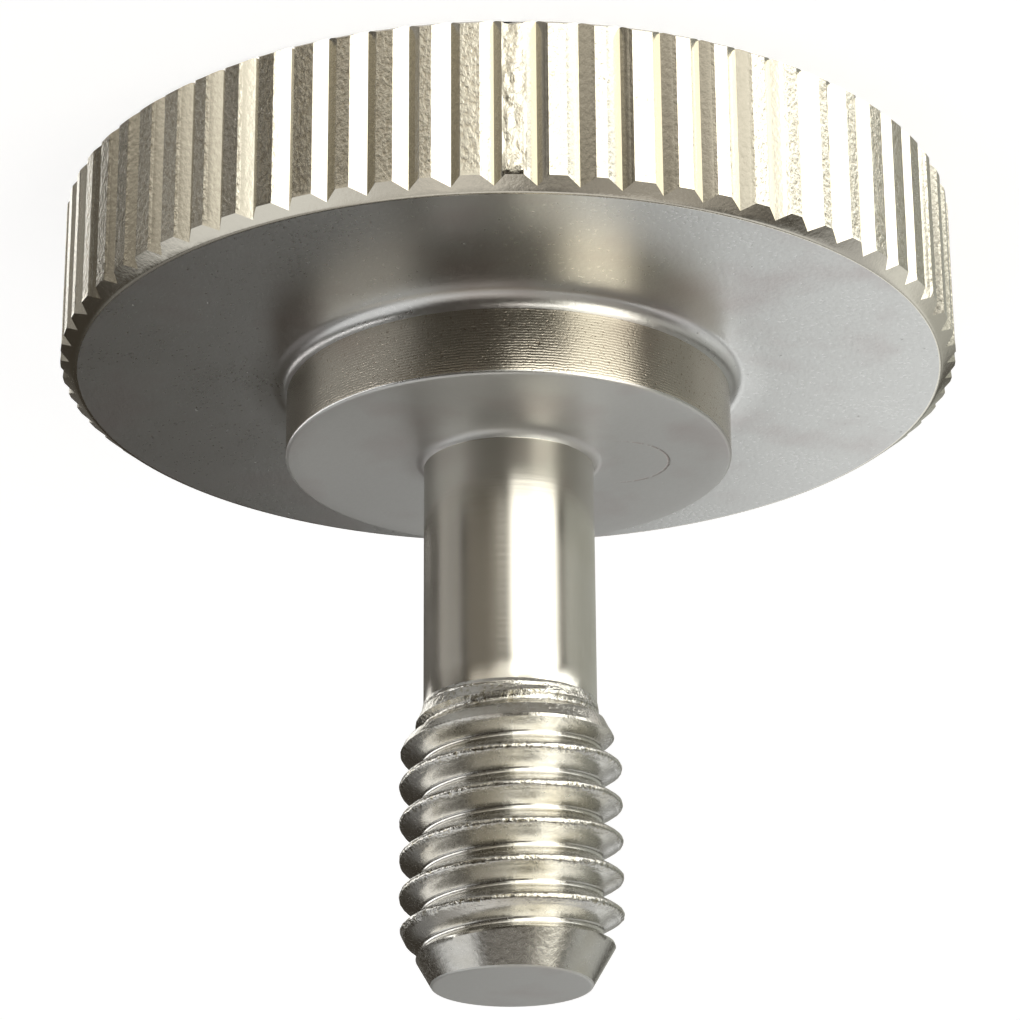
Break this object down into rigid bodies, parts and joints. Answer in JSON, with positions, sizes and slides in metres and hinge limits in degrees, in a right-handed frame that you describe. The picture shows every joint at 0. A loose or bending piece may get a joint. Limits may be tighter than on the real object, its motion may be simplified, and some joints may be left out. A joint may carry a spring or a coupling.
{
  "type": "thumb screw",
  "caption": "Turned metal thumb screw: a straight-knurled disc head, a raised seating boss, a slim plain shank and a metric thread with a bevelled tip.",
  "frame": {"origin": "centre of the head's flat top face, on which the screw stands", "axes": "+Z along the screw's axis, from the head towards the threaded tip; +X is where the thread's phase is stated"},
  "size_m": [0.0246, 0.0246, 0.0217],
  "materials": {
    "turned_steel": "turned and bead-dulled stainless steel, satin, with fine turning lines and small handling marks"
  },
  "bodies": {
    "root": {"thumb_screw": "turned_steel"}
  },
  "joints": []
}
